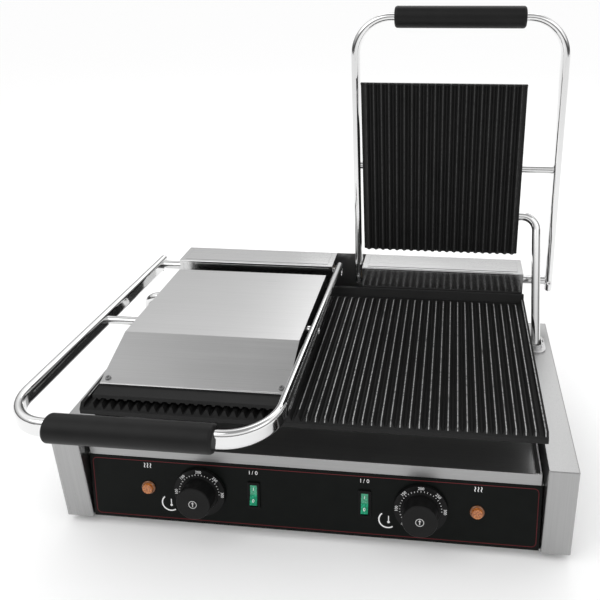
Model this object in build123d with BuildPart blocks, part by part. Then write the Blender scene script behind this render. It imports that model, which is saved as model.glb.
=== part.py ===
"""Double contact grill: ribbed lower plate, two sprung lids on bow handles, one lid shut and one open.

Places are given as x, depth behind the front face and height above the underside of the side panels.
The origin is the middle of the grill's footprint, on the table.
"""
from build123d import *
import os
from math import atan2, cos, degrees, radians, sin, tan

# Body
WIDTH = 570.0
SIDE_PANEL_W = 32.0
SIDE_PANEL_D = 278.0
SIDE_PANEL_H = 112.0
SHEET = 1.5
FRAME_REAR = 264.0
FOOT_H = 10.0
FOOT_D = 28.0

# Lower plate
PLATE_HALF_W = 253.0
PLATE_FRONT = 14.2
PLATE_REAR = 290.0
PLATE_BOTTOM = 133.0
PLATE_FACE = 141.0
RIB_H = 4.7
RIB_PITCH = 10.0
PLATE_RIBS = 49
RIM_FRONT = 282.0
RIM_TOP = 151.0

# Hinge line and bow handles
PIVOT_Y = 305.0
PIVOT_Z = 166.4
ARM_LEN = 363.7
CLOSED_TILT = 2.0
OPEN_TILT = 93.0
ARM_IN = 15.7
ARM_OUT = 287.8
TUBE_W = 10.0
TUBE_H = 20.0
BOW_CORNER_R = 49.0
ARM_TAIL = 14.0
SHAFT_R = 6.0
BUSH_CLEAR = 0.05
GRIP_R = 14.0
GRIP_LEN = 168.0

# Lids
ROD_ARM = 163.8
ROD_R = 5.0
LID_IN = 25.7
LID_W = 214.0
LID_FRONT = -119.5
LID_REAR = 117.7
CREST = -24.1
LID_RIB_H = 4.5
LID_RIBS = 21
LID_LIP_T = 2.5
LID_TOOTH = 2.2
LID_FLOOR = -13.6
LID_TOP = 8.3
COVER_T = 1.1
COVER_REAR = 123.0
COVER_FOLD = -36.5
COVER_HEM = (-103.0, -16.2)
COVER_SLOPE = atan2(LID_TOP - COVER_HEM[1], COVER_FOLD - COVER_HEM[0])

# Sliding conduits
CONDUIT_X = 265.0
CONDUIT_R = 6.0
CONDUIT_BEND = 19.0
ELBOW_Y = 68.0
ELBOW_Z = -4.0
GLAND_Y = 224.3
CONDUIT_LEG = 172.0

# Spring housings
HOUSING_IN = 22.0
HOUSING_OUT = 251.0
HOUSING_FRONT = 290.7
HOUSING_REAR = 335.3
HOUSING_BOTTOM = 100.0
HOUSING_TOP = 182.3
GUSSETS = (-240.0, -80.0, 80.0, 240.0)

# Control panel
PANEL_HALF_W = 251.0
PANEL_TOP = (12.5, 80.0)
PANEL_BOTTOM = (0.6, 2.5)
PANEL_T = 1.5
CONTROL_Z = 43.4
KNOB_X = 123.3
SWITCH_X = 62.0
LAMP_X = 183.8
ROCKER_TILT = 10.0

# Drip tray
TRAY_FRONT = 12.6
TRAY_REAR = 88.0
TRAY_BOTTOM = 82.0
TRAY_TOP = 95.0
TRAY_HALF_W = 249.5

# Depth of the frontmost and rearmost points, which are on the two grips
GRIP_FRONT = PIVOT_Y - ARM_LEN * cos(radians(CLOSED_TILT)) - GRIP_R
GRIP_BACK = PIVOT_Y - ARM_LEN * cos(radians(OPEN_TILT)) + GRIP_R
FRONT_FACE = -(GRIP_FRONT + GRIP_BACK) / 2
HALF_W = WIDTH / 2
INNER = HALF_W - SIDE_PANEL_W

os.makedirs("parts", exist_ok=True)


def at(x, depth, height):
    """A point in the grill's frame."""
    return (x, FRONT_FACE + depth, FOOT_H + height)


def block(x0, x1, y0, y1, z0, z1, mode=Mode.ADD):
    """A box between two corners, in depth and height."""
    with Locations(at((x0 + x1) / 2, (y0 + y1) / 2, (z0 + z1) / 2)):
        Box(x1 - x0, y1 - y0, z1 - z0, mode=mode)


def side_plane(x):
    """A plane across the grill at x, whose sketch axes are depth and height."""
    return Plane(origin=at(x, 0, 0), x_dir=(0, 1, 0), z_dir=(1, 0, 0))


def front_plane(depth):
    """A plane facing the front at a depth, whose sketch axes are x and height."""
    return Plane(origin=at(0, depth, 0), x_dir=(1, 0, 0), z_dir=(0, -1, 0))


def save(part, name):
    """Label a finished piece and write it."""
    part.label = name
    export_step(part, f"parts/{name}.step")


SIDES = {"left": -1, "right": 1}
TILTS = {"left": CLOSED_TILT, "right": OPEN_TILT}


def bow_plane(side):
    """The plane of a bow handle: x across, y along the arms from the hinge, z out of the underside."""
    tilt = radians(TILTS[side])
    normal = (0, -sin(tilt), -cos(tilt))
    return Plane(origin=at(0, PIVOT_Y, PIVOT_Z), x_dir=(1, 0, 0), z_dir=normal)


def lid_plane(side):
    """A lid's plane at its cross rod: x across, y towards the hinge, z away from the cooking face."""
    tilt = radians(TILTS[side])
    rod = at(0, PIVOT_Y - ROD_ARM * cos(tilt), PIVOT_Z + ROD_ARM * sin(tilt))
    up = (0, 0, 1) if side == "left" else (0, 1, 0)
    return Plane(origin=rod, x_dir=(1, 0, 0), z_dir=up)


def lid_section(side, x):
    """A plane across a lid at x, whose sketch axes are the lid's y and z."""
    lid = lid_plane(side)
    return Plane(origin=lid.from_local_coords(Vector(x, 0, 0)), x_dir=lid.y_dir, z_dir=lid.x_dir)


def span(side, near, far):
    """The low and high x of something that runs from near to far from the middle."""
    return (near, far) if side == "right" else (-far, -near)


# Panel plane: x across, y up the slope, z out to the front, with its origin at the height of the controls
PANEL_SLOPE = atan2(PANEL_TOP[0] - PANEL_BOTTOM[0], PANEL_TOP[1] - PANEL_BOTTOM[1])
CONTROL_Y = PANEL_BOTTOM[0] + (CONTROL_Z - PANEL_BOTTOM[1]) * sin(PANEL_SLOPE) / cos(PANEL_SLOPE)
PANEL_NORMAL = (0, -cos(PANEL_SLOPE), sin(PANEL_SLOPE))


def panel_plane(x, out=0.0):
    """A plane on the control panel at x, at the height of the controls."""
    plane = Plane(origin=at(x, CONTROL_Y, CONTROL_Z), x_dir=(1, 0, 0), z_dir=PANEL_NORMAL)
    return plane.offset(out)


# Body


def side_panel(side):
    """Hollow side panel, open underneath, with a slot in its top for the sliding conduit."""
    s = SIDES[side]
    x0, x1 = span(side, INNER, HALF_W)
    with BuildPart() as panel:
        block(x0, x1, 0, SIDE_PANEL_D, 0, SIDE_PANEL_H)
        upright = panel.edges().filter_by(Axis.Z).group_by(Axis.Y)[0]
        fillet(upright, radius=2.0)
        fillet(panel.faces().sort_by(Axis.Z)[-1].edges(), radius=1.2)
        block(x0 + SHEET, x1 - SHEET, SHEET, SIDE_PANEL_D - SHEET, 0, SIDE_PANEL_H - SHEET,
              mode=Mode.SUBTRACT)
        with BuildSketch(Plane(origin=at(s * CONDUIT_X, GLAND_Y, SIDE_PANEL_H - 5))):
            SlotOverall(26, 2 * CONDUIT_R + 1.0, rotation=90)
        extrude(amount=10, mode=Mode.SUBTRACT)
    save(panel.part, f"side_panel_{side}")


def base_pan():
    """Bottom sheet with rows of vents, its front edge behind the control panel."""
    with BuildPart() as pan:
        block(-INNER, INNER, 4, SIDE_PANEL_D - SHEET, 0, SHEET)
        with BuildSketch(Plane(origin=at(0, 150, 0))):
            with GridLocations(60, 26, 7, 5):
                SlotOverall(40, 5)
        extrude(amount=SHEET, mode=Mode.SUBTRACT)
    save(pan.part, "base_pan")


def rear_panel():
    """Back sheet with a row of vents and the hole for the cable entry."""
    with BuildPart() as panel:
        block(-INNER, INNER, SIDE_PANEL_D - SHEET, SIDE_PANEL_D, 0, HOUSING_BOTTOM - SHEET)
        with BuildSketch(front_plane(SIDE_PANEL_D + 5)):
            with Locations((-20, 60)):
                with GridLocations(12, 1, 12, 1):
                    SlotOverall(36, 5, rotation=90)
            with Locations((170, 36)):
                Circle(10)
        extrude(amount=-10 - SHEET, both=True, mode=Mode.SUBTRACT)
    save(panel.part, "rear_panel")


def rear_shelf():
    """Shelf on four gussets behind the rear panel, which carries the spring housings."""
    shelf = HOUSING_BOTTOM - SHEET
    with BuildPart() as part:
        block(-INNER, INNER, SIDE_PANEL_D - SHEET, HOUSING_REAR, shelf, HOUSING_BOTTOM)
        for x in GUSSETS:
            with BuildSketch(side_plane(x - SHEET / 2)):
                Polygon((SIDE_PANEL_D, shelf - 50), (SIDE_PANEL_D, shelf), (HOUSING_REAR - 5, shelf),
                        align=None)
            extrude(amount=SHEET)
    save(part.part, "rear_shelf")


def inner_frame():
    """Sheet ring under the lower plate, with a shelf at its front for the drip tray."""
    x = INNER
    front = TRAY_REAR + 5
    top = PLATE_BOTTOM
    with BuildPart() as frame:
        block(-x + 0.5, x - 0.5, front, FRAME_REAR, SHEET, top)
        block(-x + 0.5 + SHEET, x - 0.5 - SHEET, front + SHEET, FRAME_REAR - SHEET, SHEET, top,
              mode=Mode.SUBTRACT)
        block(-x + 0.5, x - 0.5, PANEL_TOP[0] + 2, front, TRAY_BOTTOM - 2 * SHEET - 0.2,
              TRAY_BOTTOM - SHEET - 0.2)
        with BuildSketch(front_plane(front + 5)):
            with Locations((-150, 40), (150, 40)):
                SlotOverall(60, 24)
        extrude(amount=10, mode=Mode.SUBTRACT)
    save(frame.part, "inner_frame")


def lower_plate():
    """Cast iron plate with ribs from front to back between two side rims."""
    crest = PLATE_FACE + RIB_H
    rib_front = PLATE_FRONT + 1.2
    rib_rear = PLATE_REAR - 13
    with BuildPart() as plate:
        with BuildSketch(side_plane(-PLATE_HALF_W)):
            Polygon((PLATE_FRONT + 1, PLATE_BOTTOM), (RIM_FRONT, PLATE_BOTTOM), (RIM_FRONT, PLATE_FACE),
                    (PLATE_FRONT + 1, PLATE_FACE), (PLATE_FRONT, PLATE_FACE - 1.5),
                    (PLATE_FRONT, PLATE_BOTTOM + 1), align=None)
        extrude(amount=2 * PLATE_HALF_W)
        with BuildSketch(front_plane(rib_front)):
            with Locations((0, PLATE_FACE)):
                with GridLocations(RIB_PITCH, 1, PLATE_RIBS, 1):
                    Polygon((-4.3, -0.5), (4.3, -0.5), (1.0, RIB_H), (-1.0, RIB_H), align=None)
            for x in (-PLATE_HALF_W, PLATE_HALF_W - 4):
                with Locations((x + 2, PLATE_FACE + RIB_H / 2 - 0.25)):
                    Rectangle(4, RIB_H + 0.5)
        extrude(amount=-(RIM_FRONT - rib_front))
        with BuildSketch(side_plane(-PLATE_HALF_W - 1)):
            Polygon((rib_front - 1, PLATE_FACE), (rib_front - 1, crest + 2), (rib_front + 10, crest + 2),
                    (rib_front + 3.5, crest), (rib_front, PLATE_FACE), align=None)
        extrude(amount=2 * PLATE_HALF_W + 2, mode=Mode.SUBTRACT)
        with BuildSketch(side_plane(-PLATE_HALF_W + 5)):
            Polygon((rib_rear - 12, crest + 1.5), (rib_rear - 10, crest), (rib_rear, PLATE_FACE),
                    (RIM_FRONT + 1, PLATE_FACE), (RIM_FRONT + 1, crest + 1.5), align=None)
        extrude(amount=2 * PLATE_HALF_W - 10, mode=Mode.SUBTRACT)
    save(plate.part, "lower_plate")


def plate_rear_rim():
    """Raised rim along the rear edge of the lower plate."""
    with BuildPart() as rim:
        with BuildSketch(side_plane(-PLATE_HALF_W)):
            Polygon((RIM_FRONT, PLATE_BOTTOM), (PLATE_REAR, PLATE_BOTTOM), (PLATE_REAR, RIM_TOP),
                    (PLATE_REAR - 4, RIM_TOP), (RIM_FRONT, PLATE_FACE), align=None)
        extrude(amount=2 * PLATE_HALF_W)
    save(rim.part, "plate_rear_rim")


def lower_heater(side):
    """Tubular element bent into a double loop under one half of the lower plate."""
    s = SIDES[side]
    r = 4.0
    z = PLATE_BOTTOM - r
    points = [(40, 255), (40, 112), (100, 112), (100, 232), (160, 232), (160, 112), (220, 112), (220, 255)]
    with BuildPart() as heater:
        with BuildLine() as path:
            FilletPolyline(*[at(s * x, y, z) for x, y in points], radius=20)
        with BuildSketch(Plane(origin=path.line @ 0, z_dir=path.line % 0)):
            Circle(r)
        sweep()
    save(heater.part, f"lower_heater_{side}")


def heat_shield():
    """Sheet that holds the elements up against the lower plate."""
    z = PLATE_BOTTOM - 8
    with BuildPart() as shield:
        block(-INNER + 2, INNER - 2, 95, 262, z - SHEET, z)
        block(-INNER + 2, -INNER + 2 + SHEET, 95, 262, z - 12, z)
        block(INNER - 2 - SHEET, INNER - 2, 95, 262, z - 12, z)
    save(shield.part, "heat_shield")


def feet():
    """Four rubber feet under the base pan."""
    with BuildPart() as foot:
        with Locations(*[at(x, y, -FOOT_H / 2) for x in (-225, 225) for y in (40, 240)]):
            Cylinder(FOOT_D / 2, FOOT_H)
        bottom = foot.edges().filter_by(GeomType.CIRCLE).group_by(Axis.Z)[0]
        chamfer(bottom, length=2)
    save(foot.part, "rubber_feet")


def cable_gland():
    """Cable entry in the rear panel: flange, neck and nut with an open bore."""
    with BuildPart() as gland:
        with BuildSketch(front_plane(SIDE_PANEL_D)):
            with Locations((170, 36)):
                RegularPolygon(15, 6)
                Circle(5, mode=Mode.SUBTRACT)
        extrude(amount=-6)
        with BuildSketch(front_plane(SIDE_PANEL_D + 6)):
            with Locations((170, 36)):
                Circle(11)
                Circle(5, mode=Mode.SUBTRACT)
        extrude(amount=-12)
        with BuildSketch(front_plane(SIDE_PANEL_D)):
            with Locations((170, 36)):
                Circle(10)
                Circle(5, mode=Mode.SUBTRACT)
        extrude(amount=12)
    save(gland.part, "cable_gland")


def terminal_block():
    """Mains terminal block on the base pan by the cable entry."""
    with BuildPart() as block_part:
        block(135, 195, 225, 245, SHEET, SHEET + 16)
        with Locations(*[at(143 + 11 * n, 235, SHEET + 16) for n in range(5)]):
            Cylinder(3, 8, mode=Mode.SUBTRACT)
    save(block_part.part, "terminal_block")


# Spring housings and hinge


def spring_housing(side):
    """Sheet box open underneath, with a lip along its front edge and a bush hole in each end."""
    x0, x1 = span(side, HOUSING_IN, HOUSING_OUT)
    with BuildPart() as housing:
        block(x0, x1, HOUSING_FRONT, HOUSING_REAR, HOUSING_BOTTOM, HOUSING_TOP)
        top = housing.edges().filter_by(Axis.X).group_by(Axis.Z)[-1]
        fillet(top, radius=1.5)
        block(x0 + SHEET, x1 - SHEET, HOUSING_FRONT + SHEET, HOUSING_REAR - SHEET, HOUSING_BOTTOM,
              HOUSING_TOP - SHEET, mode=Mode.SUBTRACT)
        with BuildSketch(side_plane(x0 - 1)):
            with Locations((PIVOT_Y, PIVOT_Z)):
                Circle(9)
        extrude(amount=x1 - x0 + 2, mode=Mode.SUBTRACT)
    save(housing.part, f"spring_housing_{side}")


def rear_bridge():
    """Sheet that closes the back of the notch between the housings."""
    with BuildPart() as bridge:
        block(-HOUSING_IN, HOUSING_IN, HOUSING_REAR - SHEET, HOUSING_REAR, HOUSING_BOTTOM, HOUSING_TOP)
    save(bridge.part, "rear_bridge")


def hinge_bushes():
    """Four flanged bushes, one in each end of each housing."""
    with BuildPart() as bushes:
        for side in SIDES:
            x0, x1 = span(side, HOUSING_IN, HOUSING_OUT)
            for wall, flange in ((x0, x0 + SHEET), (x1 - SHEET, x1 - SHEET - 3)):
                with BuildSketch(side_plane(wall)):
                    with Locations((PIVOT_Y, PIVOT_Z)):
                        Circle(9)
                        Circle(SHAFT_R + BUSH_CLEAR, mode=Mode.SUBTRACT)
                extrude(amount=SHEET)
                with BuildSketch(side_plane(flange)):
                    with Locations((PIVOT_Y, PIVOT_Z)):
                        Circle(11.5)
                        Circle(SHAFT_R + BUSH_CLEAR, mode=Mode.SUBTRACT)
                extrude(amount=3)
    save(bushes.part, "hinge_bushes")


def torsion_spring(side):
    """Helical spring round the hinge shaft that carries the weight of the lid."""
    x0, _ = span(side, 90, 150)
    turns = 10
    wire = 2.0
    pitch = 5.6
    with BuildPart() as spring:
        with BuildLine() as path:
            Helix(pitch=pitch, height=pitch * turns, radius=9.5, center=at(x0, PIVOT_Y, PIVOT_Z),
                  direction=(1, 0, 0))
        with BuildSketch(Plane(origin=path.line @ 0, z_dir=path.line % 0)):
            Circle(wire)
        sweep(is_frenet=True)
    save(spring.part, f"torsion_spring_{side}")


# Controls


def control_panel():
    """Sloping front panel with holes for the spindles, lamps and switches."""
    with BuildPart() as panel:
        with BuildSketch(side_plane(-PANEL_HALF_W)):
            Polygon(PANEL_BOTTOM, PANEL_TOP, (PANEL_TOP[0] + PANEL_T, PANEL_TOP[1]),
                    (PANEL_BOTTOM[0] + PANEL_T, PANEL_BOTTOM[1]), align=None)
        extrude(amount=2 * PANEL_HALF_W)
        with BuildSketch(panel_plane(0, 3)):
            with Locations((-KNOB_X, 0), (KNOB_X, 0)):
                Circle(5)
            with Locations((-LAMP_X, 0), (LAMP_X, 0)):
                Circle(6)
            with Locations((-SWITCH_X, 0), (SWITCH_X, 0)):
                Rectangle(11, 30)
        extrude(amount=-8, mode=Mode.SUBTRACT)
    save(panel.part, "control_panel")


def thermostat(side):
    """Thermostat body behind the panel, with a blind bore for the spindle."""
    x = SIDES[side] * KNOB_X
    with BuildPart() as body:
        with BuildSketch(panel_plane(x, -PANEL_T)):
            RectangleRounded(40, 34, 4)
        extrude(amount=-20)
        with BuildSketch(panel_plane(x, -PANEL_T)):
            Circle(3 + BUSH_CLEAR)
        extrude(amount=-10, mode=Mode.SUBTRACT)
    save(body.part, f"thermostat_{side}")


def thermostat_spindle(side):
    """Round spindle that joins the knob to the thermostat."""
    x = SIDES[side] * KNOB_X
    with BuildPart() as spindle:
        with BuildSketch(panel_plane(x, -PANEL_T - 9)):
            Circle(3)
        extrude(amount=PANEL_T + 9 + 14)
    save(spindle.part, f"thermostat_spindle_{side}")


def thermostat_knob(side):
    """Knob with a wide dial skirt and a tall round grip."""
    x = SIDES[side] * KNOB_X
    with BuildPart() as knob:
        with BuildSketch(panel_plane(x, 0.6)):
            Circle(29)
        extrude(amount=3.4)
        with BuildSketch(panel_plane(x, 4.0)):
            Circle(22)
        extrude(amount=2.5, taper=25)
        with BuildSketch(panel_plane(x, 4.0)):
            Circle(19)
        extrude(amount=18)
        face = knob.faces().filter_by(GeomType.PLANE).sort_by(Axis.Y)[0]
        fillet(face.edges(), radius=1.2)
        with BuildSketch(panel_plane(x, 0)):
            Circle(3)
        extrude(amount=14, mode=Mode.SUBTRACT)
    save(knob.part, f"thermostat_knob_{side}")


def switch_housing(side):
    """Rocker switch body and bezel, open at the front."""
    x = SIDES[side] * SWITCH_X
    with BuildPart() as housing:
        with BuildSketch(panel_plane(x, 0)):
            RectangleRounded(14, 33, 1.5)
        extrude(amount=1.8)
        with BuildSketch(panel_plane(x, 0)):
            Rectangle(11, 30)
        extrude(amount=-22)
        with BuildSketch(panel_plane(x, 1.8)):
            Rectangle(8.6, 27)
        extrude(amount=-17, mode=Mode.SUBTRACT)
    save(housing.part, f"switch_housing_{side}")


def switch_rocker(side):
    """Green rocker on a cross pin, pressed in at the top."""
    x = SIDES[side] * SWITCH_X
    centre = panel_plane(x, -6)
    section = Plane(origin=centre.from_local_coords(Vector(-3.9, 0, 0)), x_dir=centre.y_dir,
                    z_dir=centre.x_dir)
    with BuildPart() as rocker:
        with BuildSketch(section):
            Polygon((-11.4, 5.5), (-11.2, 9.0), (0, 7.3), (11.2, 9.0), (11.4, 5.5), (0, -2.0),
                    rotation=-ROCKER_TILT, align=None)
            Circle(3)
        extrude(amount=7.8)
    save(rocker.part, f"switch_rocker_{side}")


def indicator_lamp(side):
    """Heating lamp: domed lens, collar and body behind the panel."""
    x = SIDES[side] * LAMP_X
    with BuildPart() as lamp:
        with BuildSketch(panel_plane(x, 0)):
            Circle(7.5)
        extrude(amount=1.4)
        with BuildSketch(panel_plane(x, 1.4)):
            Circle(6.2)
        extrude(amount=2.6, taper=12)
        with BuildSketch(panel_plane(x, 0)):
            Circle(6)
        extrude(amount=-24)
    save(lamp.part, f"indicator_lamp_{side}")


def drip_tray():
    """Trough under the front edge of the lower plate that slides out to the front."""
    with BuildPart() as tray:
        block(-TRAY_HALF_W, TRAY_HALF_W, TRAY_FRONT, TRAY_REAR, TRAY_BOTTOM - SHEET, TRAY_TOP)
        block(-TRAY_HALF_W + SHEET, TRAY_HALF_W - SHEET, TRAY_FRONT + SHEET, TRAY_REAR - SHEET,
              TRAY_BOTTOM, TRAY_TOP, mode=Mode.SUBTRACT)
    save(tray.part, "drip_tray")


# Lids


def bow_handle(side):
    """Flat oval bar bent into a bow, bored at its ends for the hinge shaft and further up for the rod."""
    plane = bow_plane(side)
    x0, x1 = span(side, ARM_IN, ARM_OUT)
    with BuildPart() as bow:
        with BuildLine(plane) as path:
            FilletPolyline((x0, -ARM_TAIL), (x0, ARM_LEN), (x1, ARM_LEN), (x1, -ARM_TAIL),
                           radius=BOW_CORNER_R)
        with BuildSketch(Plane(origin=path.line @ 0, x_dir=plane.z_dir, z_dir=path.line % 0)):
            SlotOverall(TUBE_H, TUBE_W)
        sweep()
        ends = bow.faces().filter_by(Plane(origin=(0, 0, 0), z_dir=plane.y_dir))
        fillet(ends.edges(), radius=3.5)
        across = Plane(origin=plane.from_local_coords(Vector(x0 - 10, 0, 0)), x_dir=plane.y_dir,
                       z_dir=(1, 0, 0))
        with BuildSketch(across):
            Circle(SHAFT_R)
            with Locations((ROD_ARM, 0)):
                Circle(ROD_R)
        extrude(amount=x1 - x0 + 20, mode=Mode.SUBTRACT)
        with BuildSketch(plane):
            with Locations((x0, 0), (x1, 0)):
                Circle(3)
        extrude(amount=TUBE_H, mode=Mode.SUBTRACT)
    save(bow.part, f"bow_handle_{side}")


def set_screws(side):
    """Two socket screws that lock the arms to the hinge shaft."""
    plane = bow_plane(side)
    with BuildPart() as screws:
        with BuildSketch(plane.offset(SHAFT_R)):
            with Locations(*[(x, 0) for x in span(side, ARM_IN, ARM_OUT)]):
                Circle(3)
        extrude(amount=TUBE_H / 2 - SHAFT_R + 0.4)
        with BuildSketch(plane.offset(TUBE_H / 2 + 0.4)):
            with Locations(*[(x, 0) for x in span(side, ARM_IN, ARM_OUT)]):
                RegularPolygon(1.6, 6)
        extrude(amount=-2, mode=Mode.SUBTRACT)
    save(screws.part, f"arm_set_screws_{side}")


def hinge_shaft(side):
    """Shaft that turns with the bow in the housing's bushes."""
    x0, x1 = span(side, ARM_IN - TUBE_W / 2 + 1, ARM_OUT + TUBE_W / 2 - 1)
    with BuildPart() as shaft:
        with BuildSketch(side_plane(x0)):
            with Locations((PIVOT_Y, PIVOT_Z)):
                Circle(SHAFT_R)
        extrude(amount=x1 - x0)
    save(shaft.part, f"hinge_shaft_{side}")


def cross_rod(side):
    """Rod between the arms on which the lid tilts."""
    x0, x1 = span(side, ARM_IN - TUBE_W / 2 + 1, ARM_OUT + TUBE_W / 2 - 1)
    with BuildPart() as rod:
        with BuildSketch(lid_section(side, x0)):
            Circle(ROD_R)
        extrude(amount=x1 - x0)
    save(rod.part, f"cross_rod_{side}")


def grip(side):
    """Black grip round the crossbar of the bow."""
    plane = bow_plane(side)
    x0, x1 = span(side, ARM_IN, ARM_OUT)
    start = (x0 + x1 - GRIP_LEN) / 2
    section = Plane(origin=plane.from_local_coords(Vector(start, ARM_LEN, 0)), x_dir=plane.z_dir,
                    z_dir=(1, 0, 0))
    with BuildPart() as grip_part:
        with BuildSketch(section):
            Circle(GRIP_R)
        extrude(amount=GRIP_LEN)
        fillet(grip_part.edges().filter_by(GeomType.CIRCLE), radius=4)
        with BuildSketch(section):
            SlotOverall(TUBE_H, TUBE_W)
        extrude(amount=GRIP_LEN, mode=Mode.SUBTRACT)
    save(grip_part.part, f"grip_{side}")


def upper_plate(side):
    """Cast iron lid plate: ribs underneath, a bevelled front flange with a lip and walls up to the cover."""
    x0, x1 = span(side, LID_IN, LID_IN + LID_W)
    base = CREST + LID_RIB_H
    hem_y, hem_z = COVER_HEM
    wall = 6.0
    with BuildPart() as plate:
        with BuildSketch(lid_section(side, x0)):
            Polygon((LID_FRONT, base), (LID_FRONT, base + 2), (hem_y - 1, hem_z - 0.6), (hem_y, hem_z),
                    (COVER_FOLD, LID_TOP), (LID_REAR, LID_TOP), (LID_REAR, base), align=None)
        extrude(amount=LID_W)
        with BuildSketch(lid_section(side, x0 + wall)):
            Polygon((hem_y + 9, LID_FLOOR), (hem_y + 9, hem_z + 4), (COVER_FOLD, LID_TOP + 1),
                    (LID_REAR - wall, LID_TOP + 1), (LID_REAR - wall, LID_FLOOR), align=None)
        extrude(amount=LID_W - 2 * wall, mode=Mode.SUBTRACT)
        with BuildSketch(lid_section(side, x0)):
            Circle(ROD_R + BUSH_CLEAR)
        extrude(amount=LID_W, mode=Mode.SUBTRACT)
        outer = x1 - wall - 1 if side == "right" else x0 - 1
        with BuildSketch(lid_section(side, outer)):
            with Locations((ELBOW_Y, ELBOW_Z)):
                SlotOverall(2 * CONDUIT_R + 6.4, 2 * CONDUIT_R + 1.4, rotation=90)
        extrude(amount=wall + 2, mode=Mode.SUBTRACT)
        rows = Plane(origin=lid_plane(side).from_local_coords(Vector((x0 + x1) / 2, LID_FRONT, base)),
                     x_dir=(1, 0, 0), z_dir=-lid_plane(side).y_dir)
        with BuildSketch(rows):
            with GridLocations(RIB_PITCH, 1, LID_RIBS, 1):
                Polygon((-4.4, 0.4), (4.4, 0.4), (1.0, -LID_RIB_H), (-1.0, -LID_RIB_H), align=None)
        extrude(amount=-(LID_REAR - LID_FRONT))
        with BuildSketch(lid_section(side, x0)):
            Polygon((LID_FRONT, CREST + LID_TOOTH), (LID_FRONT, base + 1), (LID_FRONT + LID_LIP_T, base + 1),
                    (LID_FRONT + LID_LIP_T, CREST + LID_TOOTH), align=None)
        extrude(amount=LID_W)
    save(plate.part, f"upper_plate_{side}")


def upper_heater(side):
    """Tubular element bent into a loop on the floor of the lid plate."""
    s = SIDES[side]
    r = 3.5
    lid = lid_plane(side)
    points = [(60, 90), (60, -62), (110, -62), (110, 40), (160, 40), (160, -62), (205, -62), (205, 40)]
    with BuildPart() as heater:
        with BuildLine() as path:
            FilletPolyline(*[lid.from_local_coords(Vector(s * x, y, LID_FLOOR + r)) for x, y in points],
                           radius=16)
        with BuildSketch(Plane(origin=path.line @ 0, z_dir=path.line % 0)):
            Circle(r)
        sweep()
    save(heater.part, f"upper_heater_{side}")


def lid_cover(side):
    """Stainless sheet folded over the lid: sloping front, flat top and a turned-down rear edge."""
    x0, x1 = span(side, LID_IN, LID_IN + LID_W)
    hem_y, hem_z = COVER_HEM
    top = LID_TOP + COVER_T
    with BuildPart() as cover:
        with BuildSketch(lid_section(side, x0)):
            Polygon((hem_y, hem_z), (hem_y - COVER_T * sin(COVER_SLOPE), hem_z + COVER_T * cos(COVER_SLOPE)),
                    (COVER_FOLD - COVER_T * tan(COVER_SLOPE / 2), top), (COVER_REAR, top),
                    (COVER_REAR, -10), (COVER_REAR - COVER_T, -10), (COVER_REAR - COVER_T, LID_TOP),
                    (COVER_FOLD, LID_TOP), align=None)
        extrude(amount=LID_W)
        lid = lid_plane(side)
        fold = cover.edges().filter_by(Axis.X).sort_by_distance(
            lid.from_local_coords(Vector((x0 + x1) / 2, COVER_FOLD, top)))[0]
        fillet(fold, radius=3.0)
    save(cover.part, f"lid_cover_{side}")


def cover_screws(side):
    """Pan head screws in the front corners of the cover."""
    x0, x1 = span(side, LID_IN, LID_IN + LID_W)
    hem_y, hem_z = COVER_HEM
    slope = COVER_SLOPE
    lid = lid_plane(side)
    along = 7.0
    seat = lid.from_local_coords(Vector(0, hem_y + along * cos(slope), hem_z + along * sin(slope)))
    normal = lid.z_dir * cos(slope) - lid.y_dir * sin(slope)
    face = Plane(origin=seat, x_dir=(1, 0, 0), z_dir=normal).offset(COVER_T + 0.02)
    with BuildPart() as screws:
        with BuildSketch(face):
            with Locations((x0 + 7, 0), (x1 - 7, 0)):
                Circle(3.4)
        extrude(amount=2.0, taper=20)
        with BuildSketch(face.offset(2.0)):
            with Locations((x0 + 7, 0), (x1 - 7, 0)):
                Rectangle(3.6, 0.9)
                Rectangle(0.9, 3.6)
        extrude(amount=-1.2, mode=Mode.SUBTRACT)
    save(screws.part, f"cover_screws_{side}")


# Conduits


def conduit_angle(side):
    """Lean of the conduit's long leg behind the vertical, in radians, so that it points at its gland."""
    elbow = lid_plane(side).from_local_coords(Vector(0, ELBOW_Y, ELBOW_Z))
    gland = Vector(*at(0, GLAND_Y, SIDE_PANEL_H))
    return atan2(elbow.Y - gland.Y, elbow.Z - gland.Z)


def conduit(side):
    """Chromed tube that carries the lid's wiring and slides down into the side panel as the lid shuts."""
    lean = conduit_angle(side)
    elbow = lid_plane(side).from_local_coords(Vector(0, ELBOW_Y, ELBOW_Z))
    s = SIDES[side]
    plane = Plane(origin=elbow, x_dir=(s, 0, 0), z_dir=(0, -s * cos(lean), s * sin(lean)))
    inner = LID_IN + LID_W - 10
    with BuildPart() as tube:
        with BuildLine(plane) as path:
            FilletPolyline((inner, 0), (CONDUIT_X, 0), (CONDUIT_X, -CONDUIT_LEG), radius=CONDUIT_BEND)
        with BuildSketch(Plane(origin=path.line @ 0, z_dir=path.line % 0)):
            Circle(CONDUIT_R)
            Circle(CONDUIT_R - 1.5, mode=Mode.SUBTRACT)
        sweep()
    save(tube.part, f"conduit_{side}")


def conduit_gland(side):
    """Slotted collar on the side panel that guides the conduit."""
    base = Plane(origin=at(SIDES[side] * CONDUIT_X, GLAND_Y, SIDE_PANEL_H))
    with BuildPart() as gland:
        with BuildSketch(base):
            SlotOverall(42, 24, rotation=90)
        extrude(amount=2)
        with BuildSketch(base):
            SlotOverall(28.6, 15.4, rotation=90)
        extrude(amount=7)
        with BuildSketch(base):
            SlotOverall(26, 2 * CONDUIT_R + 1.0, rotation=90)
        extrude(amount=7, mode=Mode.SUBTRACT)
    save(gland.part, f"conduit_gland_{side}")


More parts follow.
